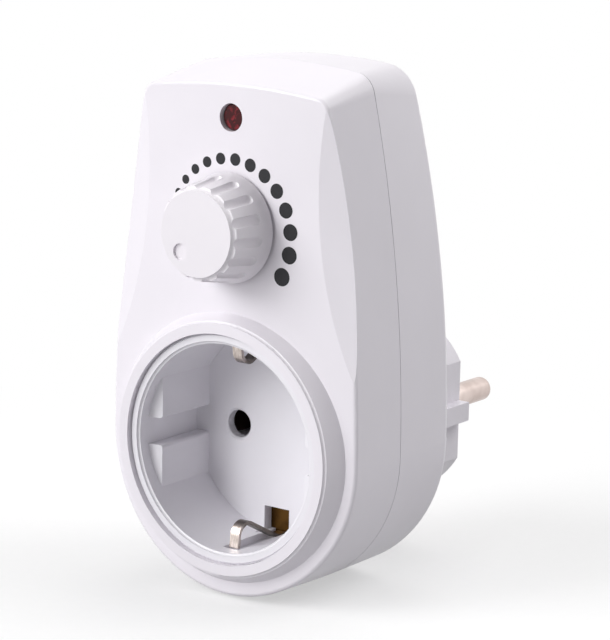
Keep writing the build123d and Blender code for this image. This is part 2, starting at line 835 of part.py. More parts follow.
def board_screws():
    """Four screws that hold the board on its pillars."""
    group = []
    for x, z in board_places():
        screw = rod(board_screw_radius - screw_gap, board_back_y - board_screw_length, board_back_y)
        screw = screw + rod(board_screw_head, board_back_y, board_back_y + board_screw_head_thick)
        group.append(Pos(x, 0, z) * screw)
    return together(group)


def housing_screws():
    """Four long screws through the rear shell's bosses into the cover's."""
    group = []
    for x, z in screw_places():
        head_top = screw_head_thick - screw_seat_depth
        screw = rod(screw_radius, -screw_seat_depth - screw_length, -screw_seat_depth)
        head = rod(screw_head_radius, -screw_seat_depth, head_top)
        for turn in (0, quarter_turn):
            slot = block(2 * cross_reach, head_top - cross_cut, head_top + overrun,
                         -cross_width / 2, cross_width / 2)
            head = head - Rot(0, turn, 0) * slot
        group.append(Pos(x, 0, z) * (screw + head))
    return together(group)


def indicator_lens():
    """Red lens: a cap, hollow behind, with a flange that stops it inside the cover."""
    front = face_y + lens_recess
    flange_rear = inner_face_y + lens_flange
    soft = lens_wall / 2
    inner = lens_radius - lens_wall
    seat = lamp_radius + seat_gap
    return turned([(0, front), (lens_radius - soft, front), (lens_radius, front + soft),
                   (lens_radius, inner_face_y), (lens_flange_radius, inner_face_y),
                   (lens_flange_radius, flange_rear), (seat, flange_rear), (seat, inner_face_y),
                   (inner, inner_face_y), (inner, front + lens_wall), (0, front + lens_wall)], 0, lens_height)


def neon_lamp():
    """Glass pilot lamp seated in the back of the lens."""
    lamp = rod(lamp_radius, inner_face_y, inner_face_y + lamp_length, 0, lens_height)
    nose = [e for e in lamp.edges() if abs(e.center().Y - inner_face_y) < seat_gap]
    return fillet(nose, lens_flange / 2)


def lamp_leads():
    """The lamp's two wires, bent down into the board's top edge."""
    group = []
    start = inner_face_y + lamp_length
    land = board_top - lamp_radius
    for side in (-1, 1):
        x = side * lamp_lead_pitch / 2
        line = FilletPolyline((x, start, lens_height), (x, board_back_y + lamp_radius, lens_height),
                              (x, board_back_y + lamp_radius, land), (x, board_back_y, land),
                              radius=2 * lamp_lead_radius)
        section = Plane(origin=line @ 0, z_dir=line % 0) * Circle(lamp_lead_radius)
        group.append(sweep(section, path=line))
    return together(group)


def heat_sink():
    """Bent aluminium heat sink standing on the board, with a fin turned up at each end."""
    rear = board_back_y + sink_depth
    sink = block(sink_width, board_back_y, rear, sink_z, sink_z + sink_thick, sink_x)
    for hand in (-1, 1):
        x = sink_x + hand * (sink_width - sink_thick) / 2
        sink = sink + block(sink_thick, board_back_y, rear, sink_z, sink_z + sink_fin, x)
    return sink


def triac():
    """Power switch on the heat sink: moulded body, metal tab and three legs in the board."""
    front = board_back_y + 2 * triac_leg
    rear = front + triac_height
    tab_end = min(rear + triac_tab, board_back_y + sink_depth)
    body = block(triac_width, front, rear, sink_z - triac_thick, sink_z, sink_x)
    part = body + block(triac_width, rear, tab_end, sink_z - sink_thick, sink_z, sink_x)
    low = sink_z - (triac_thick + triac_leg) / 2
    for step in (-1, 0, 1):
        x = sink_x + step * triac_leg_pitch
        part = part + block(triac_leg, board_back_y, front, low, low + triac_leg, x)
    return part


def choke_core():
    """Ring core of the suppression choke, lying flat over the board."""
    ring = Circle(choke_outer - winding_thick) - Circle(choke_inner)
    front = board_back_y + winding_thick
    return Pos(choke_x, 0, choke_z) * slab(ring, front, front + choke_length)


def choke_winding():
    """Enamelled wire round the core, one layer, open where its two ends leave."""
    front = board_back_y
    rear = board_back_y + 2 * winding_thick + choke_length
    outer = Circle(choke_outer) - Circle(choke_inner - winding_thick)
    sector = Pos(0, -choke_outer) * Rectangle(2 * choke_inner * math.tan(math.radians(winding_open)) / 2,
                                              2 * choke_outer)
    wrap = slab(outer - sector, front, rear)
    core = slab(Circle(choke_outer - winding_thick) - Circle(choke_inner), front + winding_thick,
                rear - winding_thick)
    return Pos(choke_x, 0, choke_z) * (wrap - core)


def film_capacitor():
    """Boxed film capacitor across the supply."""
    box = block(film_length, board_back_y, board_back_y + film_depth, film_z - film_height / 2,
                film_z + film_height / 2, film_x)
    far = [e for e in box.edges() if e.center().Y > board_back_y + film_edge_radius]
    return fillet(far, film_edge_radius)


def fuse_axis_y():
    """Depth of the fuse's axis over the board."""
    return board_back_y + fuse_stand + fuse_radius


def fuse_glass():
    """Glass tube of the fuse."""
    tube = Cylinder(fuse_radius - clip_wall, fuse_length - 2 * fuse_cap_length)
    return Pos(fuse_x, fuse_axis_y(), fuse_z) * Rot(0, quarter_turn, 0) * tube


def fuse_caps():
    """Metal end caps of the fuse."""
    group = []
    for hand in (-1, 1):
        x = fuse_x + hand * (fuse_length - fuse_cap_length) / 2
        cap = Rot(0, quarter_turn, 0) * Cylinder(fuse_radius, fuse_cap_length)
        group.append(Pos(x, fuse_axis_y(), fuse_z) * cap)
    return together(group)


def fuse_clips():
    """Two spring clips that hold the fuse off the board."""
    group = []
    y = fuse_axis_y()
    low, high = fuse_z - fuse_radius, fuse_z + fuse_radius
    for hand in (-1, 1):
        x = fuse_x + hand * (fuse_length - fuse_cap_length) / 2
        outer = fuse_radius + seat_gap + clip_wall
        body = block(fuse_clip_width, board_back_y, y + fuse_radius / 2, fuse_z - outer, fuse_z + outer, x)
        hole = Rot(0, quarter_turn, 0) * Cylinder(fuse_radius + seat_gap, 2 * fuse_cap_length)
        hole = Pos(x, y, fuse_z) * hole
        mouth = block(2 * fuse_clip_width, y, y + fuse_radius + overrun, low, high, x)
        window = block(2 * fuse_clip_width, board_back_y + clip_wall, y, low, high, x)
        group.append(body - hole - mouth - window)
    return together(group)


def lying_part(radius, length, x, z, hand):
    """Small round component lying along X on the board, with its two bent legs.

    The hand is 1 for the rear side of the board and -1 for its front side.
    """
    face = board_back_y if hand > 0 else board_y
    y = face + hand * (radius + wire_radius)
    body = Pos(x, y, z) * Rot(0, quarter_turn, 0) * Cylinder(radius, length)
    for side in (-1, 1):
        root = x + side * (length / 2 - wire_radius)
        land = x + side * (length / 2 + radius)
        line = FilletPolyline((root, y, z), (land, y, z), (land, face, z), radius=2 * wire_radius)
        section = Plane(origin=line @ 0, z_dir=line % 0) * Circle(wire_radius)
        body = body + sweep(section, path=line)
    return body


def diac():
    """Glass trigger diode on the board's front."""
    return lying_part(diac_radius, diac_length, diac_x, diac_z, -1)


def resistors():
    """Two fixed resistors of the timing network."""
    heights = (resistor_z, resistor_z + resistor_pitch)
    return together([lying_part(resistor_radius, resistor_length, resistor_x, z, 1) for z in heights])


def timing_capacitor():
    """Small disc-shaped timing capacitor standing on the board's front."""
    rear = board_y - wire_radius
    disc = Pos(timing_x, rear - timing_radius, timing_z) * Cylinder(timing_radius, timing_thick)
    for side in (-1, 1):
        x = timing_x + side * timing_radius / 2
        disc = disc + rod(wire_radius, rear - timing_radius, board_y, x, timing_z)
    return disc


def minimum_trimmer():
    """Preset for the lowest brightness, on the board's front beside the potentiometer."""
    body = block(trimmer_width, board_y - trimmer_thick, board_y, trimmer_z - trimmer_width / 2,
                 trimmer_z + trimmer_width / 2, trimmer_x)
    face = board_y - trimmer_thick
    return body + rod(trimmer_screw_radius, face - wire_radius, face, trimmer_x, trimmer_z)


def build():
    nodes = {
        "front_cover": front_cover(),
        "rear_housing": rear_housing(),
        "housing_screws": housing_screws(),
        "socket_insert": socket_insert(),
        "upper_earth_clip": earth_clip(1),
        "lower_earth_clip": earth_clip(-1),
        "earth_bridge": earth_bridge(),
        "plug_earth_top": plug_earth(1),
        "plug_earth_bottom": plug_earth(-1),
        "plug_pin_left": plug_pin(-1),
        "plug_pin_right": plug_pin(1),
        "pin_carrier": pin_carrier(),
        "socket_contact_left": socket_contact(-1),
        "socket_contact_right": socket_contact(1),
        "neutral_strap": neutral_strap(),
        "live_lead": live_lead(),
        "neutral_lead": contact_lead(-1),
        "load_lead": contact_lead(1),
        "control_knob": control_knob(),
        "pot_shaft": pot_shaft(),
        "pot_wiper": pot_wiper(),
        "pot_case": pot_case(),
        "pot_track": pot_track(),
        "pot_terminals": pot_terminals(),
        "circuit_board": circuit_board(),
        "board_screws": board_screws(),
        "indicator_lens": indicator_lens(),
        "neon_lamp": neon_lamp(),
        "lamp_leads": lamp_leads(),
        "heat_sink": heat_sink(),
        "triac": triac(),
        "choke_core": choke_core(),
        "choke_winding": choke_winding(),
        "film_capacitor": film_capacitor(),
        "fuse_glass": fuse_glass(),
        "fuse_caps": fuse_caps(),
        "fuse_clips": fuse_clips(),
        "diac": diac(),
        "resistors": resistors(),
        "timing_capacitor": timing_capacitor(),
        "minimum_trimmer": minimum_trimmer(),
    }
    for name, shape in nodes.items():
        export_step(shape, f"parts/{name}.step")


build()
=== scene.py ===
"""A white plug-in dimmer with an earthed socket, dressed over its CAD frame and set on a pale floor.

All lengths are metres in the frame of the CAD part: X to the right seen from the front, Y back to the
wall, Z up, with the origin on the plug's axis in the plane of the rear face.
"""
import math

import bmesh
import bpy
from bpy.props import FloatProperty, FloatVectorProperty, IntProperty
from mathutils import Matrix, Vector


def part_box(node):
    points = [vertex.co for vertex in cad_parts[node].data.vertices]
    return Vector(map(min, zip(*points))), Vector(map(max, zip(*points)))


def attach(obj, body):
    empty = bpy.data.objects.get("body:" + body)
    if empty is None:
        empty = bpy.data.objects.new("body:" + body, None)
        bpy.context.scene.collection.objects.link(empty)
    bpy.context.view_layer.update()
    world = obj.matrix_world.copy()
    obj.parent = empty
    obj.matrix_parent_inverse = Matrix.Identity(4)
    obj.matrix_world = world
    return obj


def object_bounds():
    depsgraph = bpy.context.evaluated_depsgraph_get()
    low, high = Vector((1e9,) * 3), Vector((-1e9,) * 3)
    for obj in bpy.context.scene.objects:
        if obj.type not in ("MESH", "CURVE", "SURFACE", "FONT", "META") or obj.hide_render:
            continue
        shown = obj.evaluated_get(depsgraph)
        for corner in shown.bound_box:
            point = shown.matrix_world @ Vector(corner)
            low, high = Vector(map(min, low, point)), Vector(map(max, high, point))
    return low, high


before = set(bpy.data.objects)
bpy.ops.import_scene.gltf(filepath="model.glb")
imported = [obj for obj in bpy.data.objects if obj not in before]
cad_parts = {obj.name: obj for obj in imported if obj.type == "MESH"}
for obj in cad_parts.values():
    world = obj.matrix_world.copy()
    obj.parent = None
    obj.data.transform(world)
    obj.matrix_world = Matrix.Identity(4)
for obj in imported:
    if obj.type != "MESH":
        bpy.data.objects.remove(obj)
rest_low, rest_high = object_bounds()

bl_info = {
    "name": "Plug-in Dimmer Dressing",
    "version": (1, 2, 0),
    "blender": (4, 5, 0),
    "location": "View3D > Sidebar > Dimmer",
    "description": "Dresses the CAD frame of a plug-in dimmer and lights it on a pale floor",
    "category": "Object",
}

MM = 0.001

# What Blender is told about every property that is a length, an angle, a share or a colour.
LENGTH = {"subtype": "DISTANCE", "unit": "LENGTH"}
ANGLE = {"subtype": "ANGLE", "unit": "ROTATION"}
SHARE = {"subtype": "FACTOR", "min": 0.0, "max": 1.0}
COLOUR = {"subtype": "COLOR", "size": 4, "min": 0.0, "max": 1.0}

# The camera's target: the point of the dimmer that lies in the middle of the photograph.
AIM = Vector((19.013, -34.0, 26.893)) * MM
# Height in pixels of the photograph that the camera repeats, and of the camera's sensor in millimetres.
PHOTO_HEIGHT = 640
SENSOR_HEIGHT = 36.0

# Soft lamps: name, place in metres, edge length in metres, power in watts.
LAMPS = (
    ("key_left", (-0.70, -0.95, 0.75), 0.8, 11.2),
    ("key_frontal", (-0.40, -1.15, 0.40), 0.6, 5.6),
    ("rear_right_high", (0.75, 0.50, 0.95), 0.8, 8.0),
    ("top_back", (-0.10, 0.45, 1.15), 0.8, 4.6),
)
# Strength of the pale light that reaches the dimmer from all round, where 1 would be white.
ROOM_STRENGTH = 0.145
WHITE = (1.0, 1.0, 1.0, 1.0)


def hex_linear(code):
    """Linear colour of an sRGB hex code such as EDEEF0."""
    out = []
    for at in (0, 2, 4):
        part = int(code[at:at + 2], 16) / 255
        out.append(part / 12.92 if part <= 0.04045 else ((part + 0.055) / 1.055) ** 2.4)
    return (*out, 1.0)


def tones(dark, light):
    """Linear colours of the two hex codes that a finish runs between."""
    return hex_linear(dark), hex_linear(light)


def node(tree, kind, settings=None, links=None, stops=(), **inputs):
    """Add a shader node with its settings, a ramp's stops, its constant inputs and its links.

    Stops are pairs of position and colour, inputs are named with _ for a space, and links are given as
    {input: output socket}.
    """
    made = tree.nodes.new(kind)
    for key, value in (settings or {}).items():
        setattr(made, key, value)
    for number, (position, colour) in enumerate(stops):
        made.color_ramp.elements[number].position = position
        made.color_ramp.elements[number].color = colour
    for key, value in inputs.items():
        made.inputs[key.replace("_", " ")].default_value = value
    for key, socket in (links or {}).items():
        tree.links.new(socket, made.inputs[key])
    return made


def fresh(name, **inputs):
    """An empty material with its principled shader, which gets the constant inputs."""
    material = bpy.data.materials.new(name)
    material.use_nodes = True
    tree = material.node_tree
    tree.nodes.clear()
    shader = node(tree, "ShaderNodeBsdfPrincipled", **inputs)
    node(tree, "ShaderNodeOutputMaterial", links={"Surface": shader.outputs[0]})
    return material, tree, shader


def grains(tree, size_mm, squeeze=None, detail=3.0, rough=0.55, twist=0.0):
    """Pattern of grains of size_mm.

    Squeeze gives a factor for each axis: over 1 it makes the grains narrower there, so that they look
    drawn out along the other axes.
    """
    place = node(tree, "ShaderNodeTexCoord").outputs["Object"]
    if squeeze:
        place = node(tree, "ShaderNodeMapping", Scale=squeeze, links={"Vector": place}).outputs["Vector"]
    noise = node(tree, "ShaderNodeTexNoise", Scale=1 / (size_mm * MM), Detail=detail, Roughness=rough,
                 Distortion=twist, links={"Vector": place})
    return noise.outputs["Fac"]


def skin(tree, shader, clouds, grain, pair, rough, swing, strength, height_mm, low=0.3, high=0.7):
    """Dress a shader: the clouds run between its pair of tones as they rise from low to high, and the
    grain swings the roughness about rough and raises the surface as far as height_mm."""
    tone = node(tree, "ShaderNodeValToRGB", links={"Fac": clouds},
                stops=((low, pair[0]), (high, pair[1])))
    sheen = node(tree, "ShaderNodeMapRange", links={"Value": grain}, To_Min=rough - swing,
                 To_Max=rough + swing)
    rise = node(tree, "ShaderNodeBump", links={"Height": grain}, Strength=strength,
                Distance=height_mm * MM)
    tree.links.new(tone.outputs["Color"], shader.inputs["Base Color"])
    tree.links.new(sheen.outputs["Result"], shader.inputs["Roughness"])
    tree.links.new(rise.outputs["Normal"], shader.inputs["Normal"])


def moulded(name, pair, rough, ior, peel_mm=1.1, flow_mm=16.0):
    """Injection-moulded plastic: broad faint flow tones, a fine waviness and a soft, uneven sheen."""
    # The peel of a real moulding is some 0.3 mm wide; it is drawn as coarse as it needs to show.
    material, tree, shader = fresh(name, IOR=ior)
    skin(tree, shader, grains(tree, flow_mm), grains(tree, peel_mm), pair, rough, swing=0.03,
         strength=0.08, height_mm=0.02)
    return material


def metal(name, pair, rough, scuff_mm, swing=0.04, squeeze=None, strength=0.08):
    """Metal with scuffs of scuff_mm, drawn out to rolling lines by squeeze, and wider clouds of oxide."""
    # Real scuffs are under 0.1 mm wide; they are drawn as coarse as they need to show.
    material, tree, shader = fresh(name, Metallic=1.0)
    cloud_mm = 6 * scuff_mm
    skin(tree, shader, grains(tree, cloud_mm), grains(tree, scuff_mm, squeeze, detail=4.0), pair, rough,
         swing, strength, height_mm=0.01)
    return material


def highlit_strip(name, shade_pair, highlight_pair, front_y):
    """Nickel-plated strip: the bend at front_y is painted pale in streaks as a painted highlight, and the
    rest darker as painted shade.
    """
    # Painted highlight tones at the front bend blend into the painted shade of the rest of the strip.
    highlight_end, shade_start = front_y + 0.6 * MM, front_y + 2.2 * MM
    material = metal(name, shade_pair, rough=0.36, scuff_mm=0.4, swing=0.06, squeeze=(6.0, 1.0, 1.0),
                     strength=0.25)
    tree = material.node_tree
    shader = tree.nodes["Principled BSDF"]
    shaded_tone = shader.inputs["Base Color"].links[0].from_socket
    place = node(tree, "ShaderNodeTexCoord").outputs["Object"]
    depth = node(tree, "ShaderNodeSeparateXYZ", links={"Vector": place}).outputs["Y"]
    # Share of the painted highlight: 1 at the front bend, 0 where the painted shade begins.
    highlight_share = node(tree, "ShaderNodeMapRange", {"interpolation_type": "SMOOTHSTEP"}, {"Value": depth},
                From_Min=highlight_end, From_Max=shade_start, To_Min=1.0, To_Max=0.0)
    streaks = grains(tree, size_mm=0.35, squeeze=(3.0, 1.0, 0.3))
    bright = node(tree, "ShaderNodeValToRGB", links={"Fac": streaks},
                  stops=((0.35, highlight_pair[0]), (0.65, highlight_pair[1])))
    mixed = node(tree, "ShaderNodeMix", {"data_type": "RGBA"},
                 {"Factor": highlight_share.outputs["Result"], "A": shaded_tone, "B": bright.outputs["Color"]})
    tree.links.new(mixed.outputs["Result"], shader.inputs["Base Color"])
    return material


def coated(name, pair, grain_mm, rough, ior, strength=0.2, height_mm=0.03):
    """Lacquer, resin or sintered body: mottled in grains of grain_mm with a slight relief."""
    # A real filler's or powder's grain is under 0.1 mm; it is drawn as coarse as it needs to show.
    material, tree, shader = fresh(name, IOR=ior)
    mottle = grains(tree, grain_mm)
    skin(tree, shader, mottle, mottle, pair, rough, swing=0.05, strength=strength, height_mm=height_mm)
    return material


def drawn_glass(name, pair, rough):
    """Drawn glass tube: clear, with a slight waviness."""
    material, tree, shader = fresh(name, IOR=1.5, Transmission_Weight=0.9)
    waves = grains(tree, size_mm=2.0, detail=2.0)
    skin(tree, shader, waves, waves, pair, rough, swing=0.02, strength=0.05, height_mm=0.02)
    return material


def red_lens(name, pair):
    """Polycarbonate moulded clear red: a matt face that mirrors little, and paler streaks painted in as
    highlights of its uneven back.
    """
    material, tree, shader = fresh(name, IOR=1.58, Transmission_Weight=0.15, Specular_IOR_Level=0.2)
    streaks = grains(tree, size_mm=1.6, detail=2.0, rough=0.6, twist=1.2)
    skin(tree, shader, streaks, streaks, pair, rough=0.16, swing=0.04, strength=0.1, height_mm=0.05,
         low=0.54, high=0.76)
    return material


def give(material, *names):
    """Give CAD nodes a material in all their slots."""
    for name in names:
        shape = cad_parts[name]
        if not shape.material_slots:
            shape.data.materials.append(material)
        for slot in shape.material_slots:
            slot.material = material


def depth_at(name, x, z):
    """Y of the front of a CAD node at x and z, found by a ray from a millimetre before the dimmer."""
    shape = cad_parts[name]
    hit, place, _, _ = shape.ray_cast(Vector((x, rest_low[1] - MM, z)), Vector((0, 1, 0)))
    if not hit:
        raise RuntimeError(f"the front of {name} was not found at x {x:.4f}, z {z:.4f}")
    return place.y


def add_white_piece(scene, name, mesh):
    """Put a mesh into the scene as a piece that is fixed to the white housing."""
    shape = bpy.data.objects.new(name, mesh)
    scene.collection.objects.link(shape)
    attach(shape, "housing")


class DIMMER_PG_finish(bpy.types.PropertyGroup):
    """Colours and sheen of the plastics and of the print."""
    case_shade: FloatVectorProperty(name="Case shade", description="Darker tone of the white case",
                                    default=hex_linear("EAE6EC"), **COLOUR)
    case_colour: FloatVectorProperty(name="Case colour", description="Lighter tone of the white case",
                                     default=hex_linear("EDE9EF"), **COLOUR)
    socket_shade: FloatVectorProperty(name="Socket shade", description="Darker tone of the socket insert",
                                      default=hex_linear("E7E5EA"), **COLOUR)
    socket_colour: FloatVectorProperty(name="Socket colour",
                                       description="Lighter tone of the socket insert",
                                       default=hex_linear("EAE8ED"), **COLOUR)
    knob_shade: FloatVectorProperty(name="Knob shade", description="Darker tone of the knob",
                                    default=hex_linear("ECE8ED"), **COLOUR)
    knob_colour: FloatVectorProperty(name="Knob colour", description="Lighter tone of the knob",
                                     default=hex_linear("EFEBF0"), **COLOUR)
    lens_shade: FloatVectorProperty(name="Lens shade", description="Dark red of the unlit lens",
                                    default=hex_linear("44050C"), **COLOUR)
    # The paler red of the lens is a painted highlight of its facets.
    lens_highlight: FloatVectorProperty(name="Lens colour", description="Paler red of the lens's streaks",
                                     default=hex_linear("96222E"), **COLOUR)
    ink_shade: FloatVectorProperty(name="Ink shade", description="Darker tone of the printed dots",
                                   default=hex_linear("17161A"), **COLOUR)
    ink_colour: FloatVectorProperty(name="Ink colour", description="Lighter tone of the printed dots",
                                    default=hex_linear("212025"), **COLOUR)
    roughness: FloatProperty(name="Roughness", description="Roughness of the white mouldings",
                             default=0.34, **SHARE)
    knob_polish: FloatProperty(name="Knob polish", description="How much smoother the knob is moulded",
                               default=0.04, **SHARE)


class DIMMER_PG_webs(bpy.types.PropertyGroup):
    """Webs that carry the well's floor on to the earth slots."""
    half_width: FloatProperty(name="Half width", description="Half the width of a web",
                              default=1.8 * MM, **LENGTH)
    inner_reach: FloatProperty(name="Inner edge",
                               description="Distance of a web's inner edge from the well's axis",
                               default=9.8 * MM, **LENGTH)
    slot_reach: FloatProperty(name="Slot edge",
                              description="Distance of the earth slot from the well's axis",
                              default=14.8 * MM, **LENGTH)
    thickness: FloatProperty(name="Thickness", description="Thickness of the well's floor",
                             default=2.2 * MM, **LENGTH)


class DIMMER_PG_dots(bpy.types.PropertyGroup):
    """Printed arc of dots round the knob."""
    arc_radius: FloatProperty(name="Arc radius", description="Radius of the arc of dots",
                              default=13.5 * MM, **LENGTH)
    centre_height: FloatProperty(name="Centre height", description="Height of the arc's centre",
                                 default=39.9 * MM, **LENGTH)
    largest: FloatProperty(name="Largest dot", description="Diameter of the first, largest dot",
                           default=3.33 * MM, **LENGTH)
    shrink: FloatProperty(name="Shrink", description="How much smaller each next dot is",
                          default=0.149 * MM, **LENGTH)
    first_angle: FloatProperty(name="First dot", description="Clock angle of the largest dot",
                               default=math.radians(119.4), **ANGLE)
    first_pitch: FloatProperty(name="First pitch", description="Angle from the largest dot to the next",
                               default=math.radians(18.48), **ANGLE)
    pitch_drop: FloatProperty(name="Pitch drop", description="How much closer each next dot stands",
                              default=math.radians(0.803), **ANGLE)
    drop_ease: FloatProperty(name="Drop ease", description="How much the pitch drop lessens dot by dot",
                             default=math.radians(0.0607), **ANGLE)
    count: IntProperty(name="Dots", description="How many dots are printed", default=18, min=2, max=40)
    sides: IntProperty(name="Sides", description="How many sides a dot's outline has", default=40, min=8,
                       max=96)
    print_height: FloatProperty(name="Ink height", description="How far the ink stands over the face",
                                default=0.02 * MM, **LENGTH)


class DIMMER_PG_stage(bpy.types.PropertyGroup):
    """Floor, lights and camera."""
    card_shade: FloatVectorProperty(name="Card shade", description="Darker tone of the white floor",
                                    default=hex_linear("FBFBFB"), **COLOUR)
    card_colour: FloatVectorProperty(name="Card colour", description="Lighter tone of the white floor",
                                     default=hex_linear("FDFDFD"), **COLOUR)
    bounce_colour: FloatVectorProperty(name="Bounce colour",
                                       description="Grey that the floor throws back on the dimmer",
                                       default=hex_linear("B4B4B6"), **COLOUR)
    room_colour: FloatVectorProperty(name="Room colour", description="Colour of the light from all round",
                                     default=hex_linear("F4F2F6"), **COLOUR)
    floor_drop: FloatProperty(name="Floor gap", description="Gap under the lowest point of the part",
                              default=0.2 * MM, **LENGTH)
    floor_half: FloatProperty(name="Floor half width", description="Half the width of the floor",
                              default=3.0, **LENGTH)
    shade_near: FloatProperty(name="Shadow zone",
                              description="Radius within which the floor shows its shading",
                              default=0.045, **LENGTH)
    shade_far: FloatProperty(name="White zone",
                             description="Radius beyond which the floor shows plain white",
                             default=0.16, **LENGTH)
    shade_lift: FloatProperty(name="Shadow lift", description="Share of plain white in the shadow zone",
                              default=0.5, **SHARE)
    azimuth: FloatProperty(name="Camera azimuth",
                           description="Angle of the camera to the right of the front",
                           default=math.radians(35.889), **ANGLE)
    elevation: FloatProperty(name="Camera elevation", description="Angle of the camera over the horizon",
                             default=math.radians(11.495), **ANGLE)
    roll: FloatProperty(name="Camera roll", description="Turn of the camera about its own axis",
                        default=math.radians(1.138), **ANGLE)
    distance: FloatProperty(name="Camera distance", description="Distance from the camera to its target",
                            default=439.84 * MM, **LENGTH)
    focus_pixels: FloatProperty(name="Focal length in pixels",
                                description="Focal length in pixels of the photograph", default=2500.0,
                                subtype="PIXEL")


class DIMMER_OT_mouldings(bpy.types.Operator):
    """Finish the white case, the socket insert, the knob and the pin carrier"""
    bl_idname = "dimmer.mouldings"
    bl_label = "Mouldings"

    def execute(self, context):
        finish = context.scene.dimmer_finish
        rough = finish.roughness
        # White ABS from a polished tool: an even off-white with a broad sheen and blurred highlights.
        give(moulded("abs_case_white", (finish.case_shade, finish.case_colour), rough, ior=1.53),
             "front_cover", "rear_housing")
        # White polycarbonate for the hot socket: a touch cooler than the case.
        give(moulded("polycarbonate_socket_white", (finish.socket_shade, finish.socket_colour), rough,
                     ior=1.58), "socket_insert")
        # White ABS from a finer tool: the knob catches slightly crisper highlights on its ribs.
        give(moulded("abs_knob_white", (finish.knob_shade, finish.knob_colour),
                     rough - finish.knob_polish, ior=1.53), "control_knob")
        # Glass-filled PBT: a dull mid grey, faintly clouded by its fibre.
        give(moulded("pbt_carrier_grey", tones("86888A", "979A9C"), rough=0.5, ior=1.57, peel_mm=0.4,
                     flow_mm=3.0), "pin_carrier")
        return {"FINISHED"}


class DIMMER_OT_metal(bpy.types.Operator):
    """Finish the pins, clips, contacts and screws"""
    bl_idname = "dimmer.metal"
    bl_label = "Metal pieces"

    def execute(self, context):
        # Nickel plate on rolled brass strip: the front bend painted pale in streaks as a painted highlight,
        # the rest painted an olive grey as painted shade in the well.
        clip_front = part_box("lower_earth_clip")[0][1]
        give(highlit_strip("nickel_plated_clips", tones("66605A", "7A736C"), tones("A2968E", "DED3CD"),
                        clip_front), "upper_earth_clip", "lower_earth_clip")
        # The same plate on the plug's contacts, not yet rubbed: a warm grey with faint rolling lines.
        give(metal("nickel_plated_strip", tones("A69D96", "BCB3AC"), rough=0.3, scuff_mm=0.4,
                   squeeze=(4.0, 1.0, 1.0)), "plug_earth_top", "plug_earth_bottom")
        # Nickel plate on turned brass: a satin pinkish grey from tumbling, clouded darker by handling.
        give(metal("nickel_plated_pins", tones("AC9A92", "E6D7D1"), rough=0.3, scuff_mm=1.5),
             "plug_pin_left", "plug_pin_right")
        # Nickel plate on drawn caps: bright and smooth.
        give(metal("nickel_plated_caps", tones("B9B5AE", "C6C2BB"), rough=0.2, scuff_mm=0.6), "fuse_caps")
        # Bare brass strip, punched: darkened to a deep golden brown as painted shade of its place behind
        # the earth slots, with darker tarnish clouds.
        give(metal("brass_strip_painted_shade", tones("4A3218", "5C421E"), rough=0.42, scuff_mm=0.7, swing=0.06),
             "earth_bridge", "neutral_strap", "fuse_clips")
        # Phosphor bronze strip browned by oxide, and darkened to nearly black as painted shade at the
        # bottom of a pin hole.
        give(metal("bronze_strip_oxide_and_shade", tones("2A201C", "3A2C26"), rough=0.6, scuff_mm=0.7),
             "socket_contact_left", "socket_contact_right")
        # Phosphor bronze strip, sprung and still bright: redder and smoother than the brass.
        give(metal("phosphor_bronze", tones("A8713F", "B88250"), rough=0.3, scuff_mm=0.4), "pot_wiper")
        # Zinc-plated steel from cold heading: a bluish, slightly cloudy grey.
        give(metal("zinc_plated_steel", tones("A6A9AF", "B7BAC0"), rough=0.34, scuff_mm=0.6, swing=0.07),
             "housing_screws", "board_screws")
        # Tinned brass and tinned copper wire: bright white metal dipped in solder, softly uneven.
        give(metal("tinned_metal", tones("B7B8B6", "C5C6C4"), rough=0.26, scuff_mm=0.3, swing=0.06),
             "pot_terminals", "lamp_leads")
        # Anodised aluminium sheet: matte light grey with fine rolling lines.
        give(metal("anodised_aluminium", tones("B5B8BC", "C2C5C9"), rough=0.45, scuff_mm=0.3,
                   squeeze=(1.0, 6.0, 1.0)), "heat_sink")
        return {"FINISHED"}


class DIMMER_OT_pilot(bpy.types.Operator):
    """Finish the red lens, the lamp behind it and the fuse's tube"""
    bl_idname = "dimmer.pilot"
    bl_label = "Pilot lens and glass"

    def execute(self, context):
        finish = context.scene.dimmer_finish
        # Red polycarbonate over an unlit lamp: dark wine red, with paler flecks painted in as highlights
        # where facets catch light.
        give(red_lens("polycarbonate_red", (finish.lens_shade, finish.lens_highlight)), "indicator_lens")
        # Soda glass tube with a drawn tip: clear with a faint grey-green cast.
        give(drawn_glass("lamp_glass", tones("E4EAE6", "ECEFEC"), rough=0.05), "neon_lamp", "fuse_glass")
        return {"FINISHED"}


